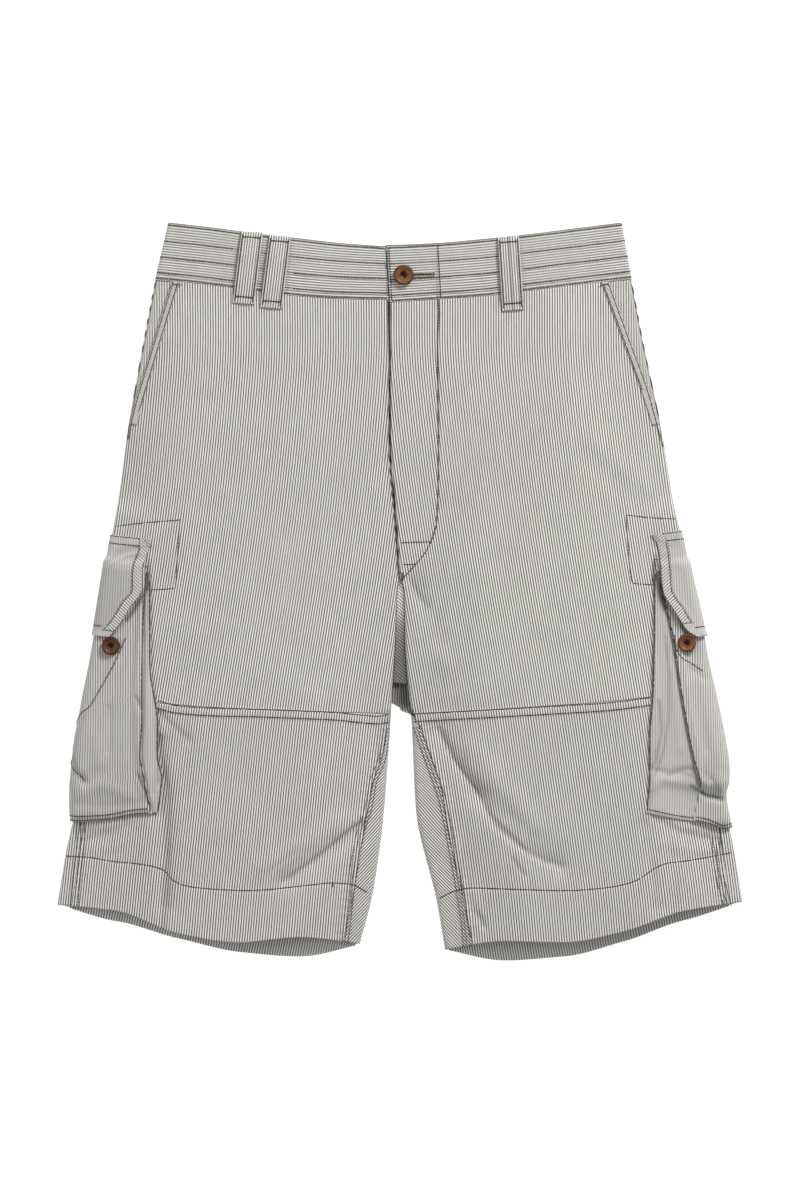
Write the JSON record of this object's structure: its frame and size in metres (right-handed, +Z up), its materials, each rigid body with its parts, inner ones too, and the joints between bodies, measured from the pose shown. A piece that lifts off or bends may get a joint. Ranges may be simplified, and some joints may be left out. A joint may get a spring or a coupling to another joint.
{
  "type": "cargo shorts laid flat",
  "caption": "Knee-length cargo shorts in a fine striped cotton, lying flat front side up, with side cargo pockets, knee seams, waistband, belt loops and brown buttons",
  "frame": {"origin": "middle of the footprint, on the surface that the shorts lie on", "axes": "+X to the right as seen from above, +Y toward the waist, +Z up; left and right in names are as seen from above"},
  "size_m": [0.6174, 0.665, 0.0245],
  "materials": {
    "striped_cloth": "matte cotton with fine lengthwise stripes",
    "striped_cloth_turned": "the same matte cotton, cut crosswise or on the bias",
    "button": "satin mottled brown"
  },
  "bodies": {
    "root": {"back_left": "striped_cloth", "back_right": "striped_cloth", "belt_loop_left_inner": "striped_cloth_turned", "belt_loop_left_outer": "striped_cloth_turned", "belt_loop_right": "striped_cloth_turned", "cargo_bag_left": "striped_cloth", "cargo_bag_right": "striped_cloth", "cargo_gusset_left": "striped_cloth_turned", "cargo_gusset_right": "striped_cloth_turned", "crotch_gusset": "striped_cloth_turned", "flap_binding_left": "striped_cloth_turned", "flap_binding_right": "striped_cloth_turned", "flap_left": "striped_cloth", "flap_right": "striped_cloth", "front_lower_left": "striped_cloth", "front_lower_right": "striped_cloth", "front_upper_left": "striped_cloth", "front_upper_right": "striped_cloth", "pocket_button_left": "button", "pocket_button_right": "button", "pocket_facing_left": "striped_cloth_turned", "pocket_facing_right": "striped_cloth_turned", "pocket_strip_left": "striped_cloth_turned", "pocket_strip_right": "striped_cloth_turned", "waist_button": "button", "waistband_left": "striped_cloth_turned", "waistband_right": "striped_cloth_turned"}
  },
  "joints": []
}
